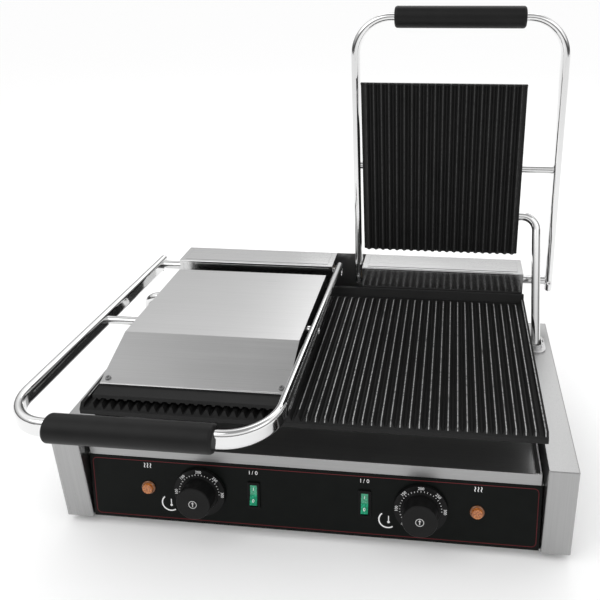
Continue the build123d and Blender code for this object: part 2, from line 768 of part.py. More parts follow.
def gland_screws(side):
    """Two pan head screws in the flange of the conduit's collar."""
    s = SIDES[side]
    top = Plane(origin=at(s * CONDUIT_X, GLAND_Y, SIDE_PANEL_H + 2))
    places = [(s * 9.8, 6.0), (-s * 9.8, -6.0)]
    with BuildPart() as screws:
        with BuildSketch(top):
            with Locations(*places):
                Circle(1.9)
        extrude(amount=1.4, taper=20)
        with BuildSketch(top.offset(1.4)):
            with Locations(*places):
                Rectangle(2.4, 0.6)
                Rectangle(0.6, 2.4)
        extrude(amount=-0.8, mode=Mode.SUBTRACT)
    save(screws.part, f"gland_screws_{side}")


for function in (base_pan, rear_panel, rear_shelf, inner_frame, lower_plate, plate_rear_rim, heat_shield,
                 feet, cable_gland, terminal_block, rear_bridge, hinge_bushes, control_panel, drip_tray):
    function()

for side_name in SIDES:
    for function in (side_panel, lower_heater, spring_housing, torsion_spring, thermostat,
                     thermostat_spindle, thermostat_knob, switch_housing, switch_rocker,
                     indicator_lamp, bow_handle, set_screws, hinge_shaft, cross_rod, grip,
                     upper_plate, upper_heater, lid_cover, cover_screws, conduit, conduit_gland, gland_screws):
        function(side_name)
    print(side_name, "conduit lean", round(degrees(conduit_angle(side_name)), 2))
print("front face", round(FRONT_FACE, 3))
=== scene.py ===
"""Double contact grill: finishes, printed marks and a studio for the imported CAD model.

Lengths in the dataclasses are millimetres. Places are x, depth behind the front face and height above the
underside of the side panels, as in the CAD source, and Place turns them into metres in the row frame.
"""
import logging
from dataclasses import dataclass, field
from enum import Enum
from math import atan2, cos, pi, radians, sin
from typing import ClassVar, Sequence

import bpy
from mathutils import Matrix, Vector


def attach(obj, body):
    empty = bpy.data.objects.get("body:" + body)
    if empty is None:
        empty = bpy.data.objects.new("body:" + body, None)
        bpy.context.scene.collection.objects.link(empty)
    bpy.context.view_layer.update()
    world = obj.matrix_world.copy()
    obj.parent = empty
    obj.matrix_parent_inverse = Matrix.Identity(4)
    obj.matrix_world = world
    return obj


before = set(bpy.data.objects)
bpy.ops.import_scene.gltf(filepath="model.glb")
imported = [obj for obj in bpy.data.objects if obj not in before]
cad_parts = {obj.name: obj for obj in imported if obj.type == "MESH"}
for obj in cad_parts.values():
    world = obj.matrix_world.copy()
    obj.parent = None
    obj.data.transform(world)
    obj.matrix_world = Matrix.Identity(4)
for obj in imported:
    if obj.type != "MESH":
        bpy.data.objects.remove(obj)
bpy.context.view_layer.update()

logging.basicConfig(level=logging.INFO, format="%(message)s")
log = logging.getLogger("grill")

# Millimetres in a metre, the front face's y in the row frame and the height of the feet, in millimetres.
MM = 1000
FRONT_FACE = -132.778
FOOT_H = 10.0
# Edges flatter than this are shaded smooth.
SMOOTH_BELOW = radians(35)
# Printed marks stand this far out, and their plane is this far off the surface, in millimetres.
PRINT_THICK = 0.1
PRINT_GAP = 0.05
# The tilt of the shut lid's bow and of the open one's, in degrees, as in the CAD source.
SHUT_TILT = 2.0
OPEN_TILT = 93.0


class Side(Enum):
    """The two halves of the grill, with the sign of their x."""

    LEFT = -1
    RIGHT = 1

    @property
    def tag(self) -> str:
        """The side's name, as it ends the names of nodes and bodies."""
        return self.name.lower()


class Grain(Enum):
    """The axis along which a sheet is brushed, as noise scales."""

    X = (6.0, 900.0, 900.0)
    Y = (900.0, 6.0, 900.0)
    Z = (900.0, 900.0, 6.0)


class Place:
    """Points and planes of the grill in the row frame, in metres."""

    @staticmethod
    def at(x: float, depth: float, height: float) -> Vector:
        """A point given in the CAD source's terms.

        Args:
            x: Across the grill, in millimetres.
            depth: Behind the front face, in millimetres.
            height: Above the underside of the side panels, in millimetres.

        Returns:
            The point in metres.
        """
        return Vector((x, depth + FRONT_FACE, height + FOOT_H)) / MM

    @staticmethod
    def plane(origin: Vector, tilt: float = 0.0, turn: float = 0.0) -> Matrix:
        """A plane turned about x and then about its own normal.

        Args:
            origin: Its origin, in metres.
            tilt: The turn about x, in radians, which is 0 for a plane that faces up.
            turn: The turn about its normal, in radians.

        Returns:
            The matrix from the plane to the row frame.
        """
        return Matrix.Translation(origin) @ Matrix.Rotation(tilt, 4, "X") @ Matrix.Rotation(turn, 4, "Z")


class Value:
    """A shader value with arithmetic: each operator adds a Math node to its graph."""

    def __init__(self, graph: "Graph", socket: bpy.types.NodeSocket) -> None:
        """Wraps an output socket of the graph."""
        self.graph = graph
        self.socket = socket

    def _maths(self, operation: str, *terms: "Value | float") -> "Value":
        """Adds a Math node with these terms."""
        return self.graph.node("ShaderNodeMath", {"operation": operation}, dict(enumerate(terms)))

    def __add__(self, other: "Value | float") -> "Value":
        """self + other."""
        return self._maths("ADD", self, other)

    __radd__ = __add__

    def __mul__(self, other: "Value | float") -> "Value":
        """self * other."""
        return self._maths("MULTIPLY", self, other)

    __rmul__ = __mul__

    def __sub__(self, other: "Value | float") -> "Value":
        """self - other."""
        return self._maths("SUBTRACT", self, other)

    def __rsub__(self, other: float) -> "Value":
        """other - self."""
        return self._maths("SUBTRACT", other, self)

    def __pow__(self, other: float) -> "Value":
        """self ** other."""
        return self._maths("POWER", self, other)

    def __abs__(self) -> "Value":
        """abs(self)."""
        return self._maths("ABSOLUTE", self)

    def __lt__(self, other: "Value | float") -> "Value":
        """1 where self is less than other, else 0."""
        return self._maths("LESS_THAN", self, other)

    def __gt__(self, other: "Value | float") -> "Value":
        """1 where self is more than other, else 0."""
        return self._maths("GREATER_THAN", self, other)

    def fraction(self) -> "Value":
        """self less the whole number below it."""
        return self._maths("FRACT", self)

    def at_least(self, other: float) -> "Value":
        """The larger of self and other."""
        return self._maths("MAXIMUM", self, other)

    def ramp(self, low: float, high: float) -> "Value":
        """0 below low and 1 above high, with a smooth rise between.

        Args:
            low: Where the rise starts.
            high: Where it ends.

        Returns:
            The smoothed value.
        """
        return self.graph.node("ShaderNodeMapRange", {"interpolation_type": "SMOOTHSTEP"},
                               {"Value": self, "From Min": low, "From Max": high})


class Graph:
    """A material's node tree with one Principled shader."""

    def __init__(self, name: str) -> None:
        """Makes the material, with its shader linked to the output."""
        self.material = bpy.data.materials.new(name)
        self.material.use_nodes = True
        self.tree = self.material.node_tree
        self.shader = self.tree.nodes["Principled BSDF"]

    def node(self, kind: str, settings: dict[str, object], inputs: dict, output: int | str = 0) -> Value:
        """Adds a node.

        Args:
            kind: Its type.
            settings: Its properties, set first.
            inputs: Values or links for its inputs, by index or name.
            output: The output that is returned, by index or name.

        Returns:
            The output as a Value.
        """
        node = self.tree.nodes.new(kind)
        for key, value in settings.items():
            setattr(node, key, value)
        for key, value in inputs.items():
            if isinstance(value, Value):
                self.tree.links.new(value.socket, node.inputs[key])
            else:
                node.inputs[key].default_value = value
        return Value(self, node.outputs[output])

    def set(self, **inputs: "Value | float | tuple") -> None:
        """Sets the shader's inputs, whose names have _ for a space.

        Args:
            **inputs: A Value is linked, and anything else is the socket's own value.
        """
        for key, value in inputs.items():
            socket = self.shader.inputs[key.replace("_", " ")]
            if isinstance(value, Value):
                self.tree.links.new(value.socket, socket)
            else:
                socket.default_value = value

    def place(self, scale: tuple[float, float, float] = (1, 1, 1)) -> Value:
        """The place on the object, in metres, times a scale for each axis."""
        point = self.node("ShaderNodeTexCoord", {}, {}, "Object")
        return self.node("ShaderNodeMapping", {}, {"Vector": point, "Scale": scale})

    def axis(self, name: str) -> Value:
        """The place along one axis, X, Y or Z, in metres."""
        point = self.node("ShaderNodeTexCoord", {}, {}, "Object")
        return self.node("ShaderNodeSeparateXYZ", {}, {0: point}, name)

    def noise(self, place: Value, scale: float = 1.0, detail: float = 3.0) -> Value:
        """Noise from 0 to 1 at a place."""
        return self.node("ShaderNodeTexNoise", {}, {"Vector": place, "Scale": scale, "Detail": detail})

    def tint(self, factor: Value, low: Sequence[float], high: Sequence[float]) -> Value:
        """A colour that goes from low to high with the factor."""
        return self.node("ShaderNodeMix", {"data_type": "RGBA"},
                         {0: factor, 6: (*low, 1.0), 7: (*high, 1.0)}, 2)

    def blend(self, factor: Value, under: Value, over: Sequence[float]) -> Value:
        """A colour laid over another by the factor."""
        return self.node("ShaderNodeMix", {"data_type": "RGBA"},
                         {0: factor, 6: under, 7: (*over, 1.0)}, 2)

    def bump(self, height: Value, strength: float, distance: float) -> None:
        """Puts a bump of that height, in metres, on the shader."""
        self.set(Normal=self.node("ShaderNodeBump", {},
                                  {"Height": height, "Strength": strength, "Distance": distance}))


def grey(value: float) -> tuple[float, float, float]:
    """A neutral colour."""
    return (value, value, value)


@dataclass(frozen=True)
class BrushedSteel:
    """Stainless sheet with fine scratches along its grain and slow changes of sheen."""

    name: str
    grain: Grain = Grain.X
    light: float = 0.66
    dark: float = 0.54
    roughness: float = 0.27
    spread: float = 0.10
    metal: float = 1.0

    def make(self) -> bpy.types.Material:
        """Builds the material."""
        graph = Graph(self.name)
        scratches = graph.noise(graph.place(self.grain.value), 1.0, 4.0)
        smears = graph.noise(graph.place(), 9.0, 2.0)
        graph.set(Base_Color=graph.tint(scratches * 0.7 + smears * 0.3, grey(self.dark), grey(self.light)),
                  Metallic=self.metal,
                  Roughness=scratches * self.spread + smears * 0.06 + (self.roughness - 0.08))
        graph.bump(scratches, 0.10, 0.0002)
        return graph.material


@dataclass(frozen=True)
class Polished:
    """Mirror-like metal with faint smears."""

    name: str
    colour: float = 0.82
    roughness: float = 0.05

    def make(self) -> bpy.types.Material:
        """Builds the material."""
        graph = Graph(self.name)
        smears = graph.noise(graph.place(), 34.0, 3.0)
        graph.set(Base_Color=graph.tint(smears, grey(self.colour - 0.06), grey(self.colour)),
                  Metallic=1.0, Roughness=smears * 0.07 + self.roughness)
        return graph.material


@dataclass(frozen=True)
class CastIron:
    """Seasoned black casting."""

    name: str

    def cast(self) -> tuple[Graph, Value, Value]:
        """Builds the bare casting.

        Returns:
            Its graph, its colour and its grain.
        """
        graph = Graph(self.name)
        grain = graph.noise(graph.place(), 900.0, 2.0)
        patches = graph.noise(graph.place(), 30.0, 3.0)
        colour = graph.tint(patches, grey(0.004), grey(0.011))
        graph.set(Base_Color=colour, Roughness=0.52 + grain * 0.14, Specular_IOR_Level=0.26)
        graph.bump(grain, 0.18, 0.0003)
        return graph, colour, grain

    def make(self) -> bpy.types.Material:
        """Builds the material."""
        return self.cast()[0].material


@dataclass(frozen=True)
class RibWearAndHighlight(CastIron):
    """Casting with a thin bright line along the crest of each rib, partly wear and partly a painted highlight.

    Lengths are metres. On the left half no line reaches in front of the shut lid's plate.
    """

    COUNT_FROM: ClassVar[float] = 100.5

    # The grey of the crest line: wear and a painted highlight where light catches the crests.
    wear_highlight_grey: float = 0.45
    first_rib: float = 0.0
    pitch: float = 0.010
    half_line: float = 0.00045
    floor: float = 0.1515
    shut_front: float = -0.104

    def make(self) -> bpy.types.Material:
        """Builds the material, whose lines lie above the floor of the ribs."""
        graph, colour, grain = self.cast()
        patches = graph.noise(graph.place(), 34.0, 3.0)
        specks = graph.noise(graph.place(), 420.0, 2.0)
        turns = (graph.axis("X") - self.first_rib) * (1 / self.pitch) + self.COUNT_FROM
        from_crest = abs(turns.fraction() - 0.5) * self.pitch
        line = 1.0 - from_crest.ramp(self.half_line * 0.5, self.half_line * 1.6)
        line = line * (graph.axis("Z") > self.floor)
        under_grip = (graph.axis("X") < 0.0) * (graph.axis("Y") < self.shut_front)
        line = line * (1.0 - under_grip)
        # The crest line's lighter colour is wear and a painted highlight, broken up by patches and specks.
        wear_and_highlight = line * patches.ramp(0.10, 0.5) * (specks.ramp(0.30, 0.55) * 0.7 + 0.3)
        graph.set(Base_Color=graph.blend(wear_and_highlight, colour, grey(self.wear_highlight_grey)), Metallic=wear_and_highlight * 0.5,
                  Roughness=0.52 - wear_and_highlight * 0.14 + grain * 0.14)
        return graph.material


@dataclass(frozen=True)
class Moulded:
    """Plastic, rubber, ceramic or paint with a fine texture."""

    name: str
    colour: tuple[float, float, float] = grey(0.012)
    roughness: float = 0.34
    coat: float = 0.0
    texture: float = 0.08
    gloss: float = 0.5

    def make(self) -> bpy.types.Material:
        """Builds the material."""
        graph = Graph(self.name)
        grain = graph.noise(graph.place(), 1400.0, 2.0)
        smears = graph.noise(graph.place(), 40.0, 2.0)
        lighter = tuple(min(1.0, channel * 1.5 + 0.004) for channel in self.colour)
        graph.set(Base_Color=graph.tint(smears, self.colour, lighter), Coat_Weight=self.coat,
                  Coat_Roughness=0.12, Roughness=grain * 0.10 + smears * 0.08 + (self.roughness - 0.09),
                  Specular_IOR_Level=self.gloss)
        graph.bump(grain, self.texture, 0.0002)
        return graph.material


@dataclass(frozen=True)
class Lens:
    """Clear coloured plastic with a lamp behind a fine prism pattern."""

    name: str
    deep: tuple[float, float, float]
    bright: tuple[float, float, float]
    glow: float = 0.5
    prisms_per_metre: float = 700.0

    def make(self) -> bpy.types.Material:
        """Builds the material."""
        graph = Graph(self.name)
        cells = graph.node("ShaderNodeTexVoronoi", {},
                           {"Vector": graph.place(), "Scale": self.prisms_per_metre}, "Distance")
        cloud = graph.noise(graph.place(), 160.0, 2.0)
        colour = graph.tint(cells.ramp(0.1, 0.7) * 0.6 + cloud * 0.4, self.bright, self.deep)
        graph.set(Base_Color=colour, Emission_Color=colour, Emission_Strength=self.glow, Roughness=0.18,
                  Coat_Weight=0.6)
        return graph.material


@dataclass(frozen=True)
class PanelFilm:
    """Gloss black film with a red line round its edge."""

    name: str
    half_width: float = 247.5
    low: float = 6.3
    high: float = 76.0
    corner: float = 5.0
    line: float = 0.28

    def make(self) -> bpy.types.Material:
        """Builds the material, with the line from the distance to a rounded rectangle."""
        graph = Graph(self.name)
        middle = (self.low + self.high) / 2
        half_height = (self.high - self.low) / 2
        across = (abs(graph.axis("X")) * MM - (self.half_width - self.corner)).at_least(0.0)
        up = (abs(graph.axis("Z") * MM - (FOOT_H + middle)) - (half_height - self.corner)).at_least(0.0)
        reach = (across * across + up * up) ** 0.5 - self.corner
        inside_x = abs(graph.axis("X")) * MM - self.half_width
        inside_z = abs(graph.axis("Z") * MM - (FOOT_H + middle)) - half_height
        nearest = graph.node("ShaderNodeMath", {"operation": "MAXIMUM"}, {0: inside_x, 1: inside_z})
        square = nearest > -self.corner
        edge = reach * square + nearest * (1.0 - square)
        line = abs(edge) < self.line
        smears = graph.noise(graph.place(), 60.0, 3.0)
        film = graph.tint(smears, (0.0030, 0.0038, 0.0034), (0.0060, 0.0070, 0.0064))
        colour = graph.blend(line, film, (0.17, 0.025, 0.03))
        graph.set(Base_Color=colour, Roughness=smears * 0.08 + 0.28, Specular_IOR_Level=0.07)
        return graph.material


class Shop:
    """The finishes, each made once and used by name."""

    FINISHES = (
        BrushedSteel("side_steel", Grain.Z, 0.44, 0.30, 0.30),
        BrushedSteel("cover_steel", Grain.X, 0.62, 0.48, 0.30),
        BrushedSteel("housing_steel", Grain.X, 0.66, 0.54, 0.17, 0.08),
        BrushedSteel("rear_steel", Grain.X, 0.62, 0.52, 0.30),
        BrushedSteel("tray_steel", Grain.X, 0.44, 0.31, 0.34, metal=0.92),
        BrushedSteel("zinc_sheet", Grain.X, 0.52, 0.40, 0.42),
        BrushedSteel("plated_steel", Grain.X, 0.74, 0.62, 0.16),
        BrushedSteel("screw_steel", Grain.X, 0.70, 0.56, 0.22),
        BrushedSteel("cast_zinc", Grain.Y, 0.66, 0.56, 0.34),
        Polished("chrome", 0.78),
        Polished("spring_steel", 0.34, 0.30),
        RibWearAndHighlight("lower_iron"),
        RibWearAndHighlight("open_lid_iron", 0.06, 0.0027, floor=0.0),
        CastIron("iron"),
        Moulded("grip_black", grey(0.005), 0.48, 0.0, 0.05, 0.20),
        Moulded("knob_black", grey(0.003), 0.46, 0.0, 0.10, 0.16),
        Moulded("switch_black", grey(0.002), 0.40, 0.0, 0.05, 0.10),
        Moulded("amber_rim", (0.16, 0.06, 0.02), 0.24, 0.5, 0.0),
        Moulded("rubber", grey(0.018), 0.70, 0.0, 0.30),
        Moulded("nylon", grey(0.014), 0.45),
        Moulded("steatite", (0.80, 0.77, 0.70), 0.40),
        Moulded("bronze", (0.10, 0.075, 0.05), 0.48),
        Moulded("white_print", grey(0.86), 0.50, 0.0, 0.0),
        Moulded("grey_print", grey(0.50), 0.50, 0.0, 0.0),
        Lens("orange_lens", (0.16, 0.035, 0.006), (0.62, 0.22, 0.045), 0.25, 700.0),
        Lens("green_lens", (0.003, 0.14, 0.07), (0.02, 0.42, 0.22), 0.20, 500.0),
        PanelFilm("panel_film"),
    )

    def __init__(self) -> None:
        """Builds every finish."""
        self.made = {finish.name: finish.make() for finish in self.FINISHES}

    def dress(self, finish: str, *nodes: str) -> None:
        """Gives CAD nodes a finish.

        Args:
            finish: The finish's name.
            *nodes: The nodes, which keep their shape and place.
        """
        for name in nodes:
            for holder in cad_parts[name].material_slots:
                holder.material = self.made[finish]
            log.info("%s: %s", name, finish)


class Bench:
    """Modelling steps shared by the sub-assemblies, each on the active object."""

    def __init__(self, shop: Shop) -> None:
        """Keeps the finishes."""
        self.shop = shop

    @staticmethod
    def clear() -> None:
        """Leaves nothing selected."""
        bpy.ops.object.select_all(action="DESELECT")

    def block(self, size: Sequence[float], bevel: float, segments: int = 2) -> bpy.types.Object:
        """A block at the origin with rounded edges, in millimetres.

        Args:
            size: Its size along x, y and z.
            bevel: The radius of its edges.
            segments: The steps of each rounding.

        Returns:
            The block.
        """
        self.clear()
        bpy.ops.mesh.primitive_cube_add(size=1)
        cube = bpy.context.object
        cube.scale = Vector(size) / MM
        bpy.ops.object.transform_apply(location=False, rotation=False, scale=True)
        rounding = cube.modifiers.new("rounding", "BEVEL")
        rounding.width = bevel / MM
        rounding.segments = segments
        bpy.ops.object.modifier_apply(modifier=rounding.name)
        return cube

    def plate(self, outline: Sequence[tuple[float, float]], thick: float) -> bpy.types.Object:
        """A flat plate of that outline, extruded up from the plane z = 0, in millimetres.

        Args:
            outline: The corners, in order, anticlockwise.
            thick: Its thickness.

        Returns:
            The plate.
        """
        self.clear()
        bpy.ops.mesh.primitive_circle_add(vertices=len(outline), radius=1, fill_type="NGON")
        shape = bpy.context.object
        for vertex, (x, y) in zip(shape.data.vertices, outline):
            vertex.co = Vector((x, y, 0)) / MM
        self.thicken(thick)
        return shape

    def ring(self, inner: float, outer: float, thick: float, start: float = 0.0, sweep: float = 360.0,
             steps: int = 48) -> bpy.types.Object:
        """A flat ring or part of one, spun about the origin, in millimetres and degrees.

        Args:
            inner: The inner radius.
            outer: The outer radius.
            thick: Its thickness, up from the plane z = 0.
            start: The angle at which it starts, from x.
            sweep: The angle that it covers.
            steps: The number of flats.

        Returns:
            The ring.
        """
        self.clear()
        bpy.ops.mesh.primitive_plane_add(size=1)
        shape = bpy.context.object
        angle = radians(start)
        across = Vector((cos(angle), sin(angle), 0))
        for vertex in shape.data.vertices:
            radius = inner if vertex.co.x < 0 else outer
            vertex.co = across * radius / MM + Vector((0, 0, thick / MM if vertex.co.y > 0 else 0))
        bpy.ops.object.mode_set(mode="EDIT")
        bpy.ops.mesh.select_all(action="SELECT")
        bpy.ops.mesh.spin(steps=steps, angle=radians(sweep), center=(0, 0, 0), axis=(0, 0, 1))
        if sweep == 360.0:
            bpy.ops.mesh.select_all(action="SELECT")
            bpy.ops.mesh.remove_doubles(threshold=1e-6)
        self.close()
        return shape

    @staticmethod
    def close() -> None:
        """Turns all faces of the active mesh outward, and leaves edit mode."""
        bpy.ops.mesh.select_all(action="SELECT")
        bpy.ops.mesh.delete_loose()
        bpy.ops.mesh.select_all(action="SELECT")
        bpy.ops.mesh.normals_make_consistent(inside=False)
        bpy.ops.object.mode_set(mode="OBJECT")

    def thicken(self, thick: float) -> None:
        """Extrudes the active flat mesh along z, in millimetres."""
        bpy.ops.object.mode_set(mode="EDIT")
        bpy.ops.mesh.select_all(action="SELECT")
        bpy.ops.mesh.extrude_region_move(TRANSFORM_OT_translate={"value": (0, 0, thick / MM)})
        self.close()

    def text(self, words: str, height: float, thick: float = 0.12) -> bpy.types.Object:
        """Centred lettering in the plane z = 0, as a mesh, in millimetres.

        Args:
            words: The characters.
            height: The size of the type.
            thick: How far it stands out.

        Returns:
            The lettering.
        """
        self.clear()
        bpy.ops.object.text_add()
        lettering = bpy.context.object
        lettering.data.body = words
        lettering.data.size = height / MM
        lettering.data.align_x = "CENTER"
        lettering.data.align_y = "CENTER"
        lettering.data.resolution_u = 3
        lettering.data.extrude = thick / 2 / MM
        bpy.ops.object.convert(target="MESH")
        return bpy.context.object

    def spun(self, profile: Sequence[tuple[float, float]], steps: int = 64) -> bpy.types.Object:
        """A turned piece about z from a profile of radius and height, in millimetres.

        Args:
            profile: The points, from the axis at one end to the axis at the other.
            steps: The number of flats.

        Returns:
            The piece, shaded smooth except at sharp corners.
        """
        self.clear()
        bpy.ops.mesh.primitive_plane_add(size=1)
        shape = bpy.context.object
        bpy.ops.object.mode_set(mode="EDIT")
        bpy.ops.mesh.select_all(action="SELECT")
        bpy.ops.mesh.merge(type="CENTER")
        for (r0, z0), (r1, z1) in zip(((0.0, 0.0), *profile), profile):
            bpy.ops.mesh.extrude_vertices_move(
                TRANSFORM_OT_translate={"value": ((r1 - r0) / MM, 0, (z1 - z0) / MM)})
        bpy.ops.mesh.select_all(action="SELECT")
        bpy.ops.mesh.spin(steps=steps, angle=2 * pi, center=(0, 0, 0), axis=(0, 0, 1))
        bpy.ops.mesh.select_all(action="SELECT")
        bpy.ops.mesh.remove_doubles(threshold=2e-6)
        self.close()
        bpy.ops.object.shade_smooth_by_angle(angle=SMOOTH_BELOW)
        return shape

    def done(self, piece: bpy.types.Object, name: str, body: str, finish: str, slot: str,
             where: Matrix | None = None) -> bpy.types.Object:
        """Places, names, finishes and mounts a piece.

        Args:
            piece: The piece, modelled at the origin.
            name: Its name.
            body: The CAD body that it rides on.
            finish: Its finish.
            slot: The name of a material slot, which is not used.
            where: The matrix from its own plane to the row frame.

        Returns:
            The piece.
        """
        self.clear()
        piece.select_set(True)
        bpy.context.view_layer.objects.active = piece
        if where is not None:
            piece.matrix_world = where @ piece.matrix_world
        bpy.ops.object.transform_apply(location=True, rotation=True, scale=True)
        piece.name = name
        piece.data.name = name
        piece.data.materials.clear()
        piece.data.materials.append(self.shop.made[finish])
        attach(piece, body)
        log.info("%s: %d faces on %s", name, len(piece.data.polygons), body)
        return piece

    def join(self, pieces: Sequence[bpy.types.Object]) -> bpy.types.Object:
        """Joins pieces into the first."""
        self.clear()
        for piece in pieces:
            piece.select_set(True)
        bpy.context.view_layer.objects.active = pieces[0]
        bpy.ops.object.transform_apply(location=True, rotation=True, scale=True)
        bpy.ops.object.join()
        return bpy.context.object


@dataclass
class Body:
    """Side panels, rear sheets, pan, plate, tray and feet."""

    bench: Bench

    def dress(self) -> None:
        """Gives the body's nodes their finishes."""
        dress = self.bench.shop.dress
        dress("side_steel", "side_panel_left", "side_panel_right")
        dress("rear_steel", "rear_panel", "rear_shelf", "rear_bridge")
        dress("zinc_sheet", "base_pan", "heat_shield", "thermostat_left", "thermostat_right")
        dress("tray_steel", "inner_frame")
        dress("lower_iron", "lower_plate")
        dress("iron", "plate_rear_rim")
        dress("iron", "lower_heater_left", "lower_heater_right", "upper_heater_left", "upper_heater_right")
        dress("rubber", "rubber_feet")
        dress("nylon", "cable_gland")
        dress("steatite", "terminal_block")
        dress("tray_steel", "drip_tray")


@dataclass
class SpringHousing:
    """A housing behind the plate, with the folded edges of its top and a pressed line on its front."""

    bench: Bench
    side: Side
    inner: float = 22.0
    outer: float = 251.0
    front: float = 290.7
    rear: float = 335.3
    top: float = 182.3
    bottom: float = 151.0
    line: float = 0.8
    line_thick: float = 0.25
    from_end: float = 5.0
    from_top: float = 4.0

    def build(self) -> None:
        """Models the top's raised panel and the front's line."""
        middle = self.side.value * (self.inner + self.outer) / 2
        length = self.outer - self.inner
        panel = self.bench.block((length - 15, self.rear - self.front - 8, 0.5), 0.22)
        where = Place.plane(Place.at(middle, (self.front + self.rear) / 2 + 1, self.top + 0.2))
        self.bench.done(panel, f"housing_top_{self.side.tag}", "body", "housing_steel", "stainless_sheet",
                        where)
        height = self.top - self.bottom
        across = (length - 2 * self.from_end, self.line, self.line_thick)
        upright = (self.line, height - 2 * self.from_top, self.line_thick)
        end = length / 2 - self.from_end
        lines = []
        spots = ((0, height / 2 - self.from_top, across), (end, 0, upright), (-end, 0, upright))
        for x, z, size in spots:
            line = self.bench.block(size, 0.1, 1)
            line.location = Vector((x, z, 0)) / MM
            lines.append(line)
        where = Place.plane(Place.at(middle, self.front - 0.05, (self.top + self.bottom) / 2), pi / 2)
        self.bench.done(self.bench.join(lines), f"housing_line_{self.side.tag}", "body", "housing_steel",
                        "stainless_sheet", where)

    def dress(self) -> None:
        """Gives the housing and what is in it their finishes."""
        tag = self.side.tag
        self.bench.shop.dress("housing_steel", f"spring_housing_{tag}")
        self.bench.shop.dress("spring_steel", f"torsion_spring_{tag}")
        self.bench.shop.dress("bronze", "hinge_bushes")


@dataclass
class ControlPanel:
    """The sloping panel with its printed marks."""

    bench: Bench
    bottom: tuple[float, float] = (0.6, 2.5)
    top: tuple[float, float] = (12.5, 80.0)
    control_height: float = 43.4
    knob_x: float = 123.3
    switch_x: float = 62.0
    lamp_x: float = 183.8
    mark_rise: float = 27.5
    dial_mark: tuple[float, float] = (-36.0, -18.0)
    slope: float = field(init=False)
    tilt: float = field(init=False)

    def __post_init__(self) -> None:
        """Works out the tilt of the panel's face."""
        self.slope = atan2(self.top[0] - self.bottom[0], self.top[1] - self.bottom[1])
        self.tilt = pi / 2 - self.slope

    def face(self, x: float, up: float = 0.0, out: float = 0.0, turn: float = 0.0) -> Matrix:
        """The plane of the panel's face.

        Args:
            x: Across the grill, in millimetres.
            up: Up the slope from the middle of the controls, in millimetres.
            out: Out from the face, in millimetres.
            turn: The turn about its normal, in radians.

        Returns:
            The plane's matrix.
        """
        depth = self.bottom[0] + (self.control_height - self.bottom[1]) * sin(self.slope) / cos(self.slope)
        plane = Place.plane(Place.at(x, depth, self.control_height), self.tilt)
        return plane @ Matrix.Translation(Vector((0, up, out)) / MM) @ Matrix.Rotation(turn, 4, "Z")

    def build(self) -> None:
        """Models the marks over the lamps and switches and beside the knobs."""
        for side in Side:
            lamp_x = side.value * self.lamp_x
            switch_x = side.value * self.switch_x
            knob_x = side.value * self.knob_x
            self.print(self.heat_waves(), f"heat_mark_{side.tag}", lamp_x, self.mark_rise)
            self.print(self.bench.text("I / 0", 6.5, PRINT_THICK), f"switch_mark_{side.tag}", switch_x,
                       self.mark_rise)
            self.print(self.thermometer(), f"dial_mark_{side.tag}", knob_x + self.dial_mark[0],
                       self.dial_mark[1])

    def print(self, mark: bpy.types.Object, name: str, x: float, up: float) -> None:
        """Puts a white mark on the panel's face.

        Args:
            mark: The mark, modelled at the origin.
            name: Its name.
            x: Across the grill, in millimetres.
            up: Up the slope from the middle of the controls, in millimetres.
        """
        self.bench.done(mark, name, "body", "white_print", "panel_black", self.face(x, up, PRINT_GAP))

    def heat_waves(self, pitch: float = 3.4) -> bpy.types.Object:
        """Models three upright waves, that far apart in millimetres."""
        waves = []
        for step in (-1, 0, 1):
            wave = self.bench.text("~", 11, PRINT_THICK)
            place = Matrix.Translation(Vector((step * pitch, 0, 0)) / MM)
            wave.matrix_world = place @ Matrix.Rotation(pi / 2, 4, "Z")
            waves.append(wave)
        return self.bench.join(waves)

    def thermometer(self) -> bpy.types.Object:
        """Models an arc with a stem and a bulb inside it."""
        arc = self.bench.ring(8.9, 10.4, PRINT_THICK, 305.0, 175.0, 32)
        stem = self.bench.block((1.1, 7.0, PRINT_THICK), 0.04, 1)
        stem.location = Vector((1.0, 1.5, PRINT_THICK / 2)) / MM
        bulb = self.bench.ring(0.02, 1.5, PRINT_THICK, 0.0, 360.0, 24)
        bulb.location = Vector((1.0, -2.6, 0.0)) / MM
        return self.bench.join((arc, stem, bulb))

    def dress(self) -> None:
        """Gives the panel its film."""
        self.bench.shop.dress("panel_film", "control_panel")


